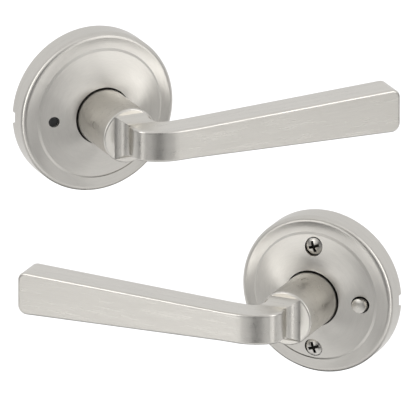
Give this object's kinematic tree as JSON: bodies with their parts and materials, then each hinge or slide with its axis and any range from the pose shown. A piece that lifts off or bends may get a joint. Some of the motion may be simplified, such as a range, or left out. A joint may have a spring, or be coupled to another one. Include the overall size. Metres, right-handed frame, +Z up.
{
  "type": "door lever handle set",
  "caption": "Privacy door lever set, outside and inside halves shown side by side: round domed roses, round necks and flat flared levers.",
  "frame": {"origin": "where the spindle's axis meets the door's face under the outside rose", "axes": "+Z up; the outside rose faces -Y turned 25 degrees towards +X, the inside rose faces -Y turned 25 degrees towards -X; +X is across the set"},
  "size_m": [0.1555, 0.1232, 0.1651],
  "materials": {
    "satin_nickel": "satin nickel, brushed",
    "zinc_plated_steel": "zinc plated",
    "spring_steel": "drawn wire",
    "nylon": "moulded, dull"
  },
  "bodies": {
    "door_hardware": {"outside_rose": "satin_nickel", "outside_mounting_plate": "zinc_plated_steel", "outside_threaded_posts": "zinc_plated_steel", "outside_release_guide": "nylon", "outside_spring_cage": "zinc_plated_steel", "outside_return_spring": "spring_steel", "outside_thrust_washer": "spring_steel", "outside_neck_bushing": "nylon", "inside_rose": "satin_nickel", "inside_mounting_plate": "zinc_plated_steel", "inside_mounting_screws": "satin_nickel", "inside_spring_cage": "zinc_plated_steel", "inside_return_spring": "spring_steel", "inside_thrust_washer": "spring_steel", "inside_neck_bushing": "nylon", "lock_button_spring": "spring_steel", "lock_button_guide": "nylon"},
    "outside_lever_group": {"outside_lever": "satin_nickel", "outside_lever_catch": "satin_nickel", "outside_spring_driver": "zinc_plated_steel", "outside_retaining_ring": "spring_steel", "spindle": "zinc_plated_steel"},
    "inside_lever_group": {"inside_lever": "satin_nickel", "inside_lever_catch": "satin_nickel", "inside_spring_driver": "zinc_plated_steel", "inside_retaining_ring": "spring_steel"},
    "lock_button_group": {"lock_button": "satin_nickel", "lock_rod": "zinc_plated_steel"}
  },
  "joints": [
    {"name": "outside_lever_turn", "type": "hinge", "parent": "door_hardware", "child": "outside_lever_group", "pos_m": [0, 0, 0], "axis": [-0.4226, 0.9063, 0], "range_deg": [-50, 50], "stiffness_Nm_per_rad": 1.5, "springref_deg": -3.44},
    {"name": "inside_lever_turn", "type": "hinge", "parent": "door_hardware", "child": "inside_lever_group", "pos_m": [0.0953, 0.055, -0.0985], "axis": [-0.4226, -0.9063, 0], "range_deg": [-50, 50], "stiffness_Nm_per_rad": 1.5, "springref_deg": -3.44},
    {"name": "lock_button_push", "type": "slide", "parent": "door_hardware", "child": "lock_button_group", "axis": [0.4226, 0.9063, 0], "range_m": [0, 0.003], "stiffness_N_per_m": 400, "springref_m": -0.001, "deforming": ["lock_button_spring"]}
  ]
}
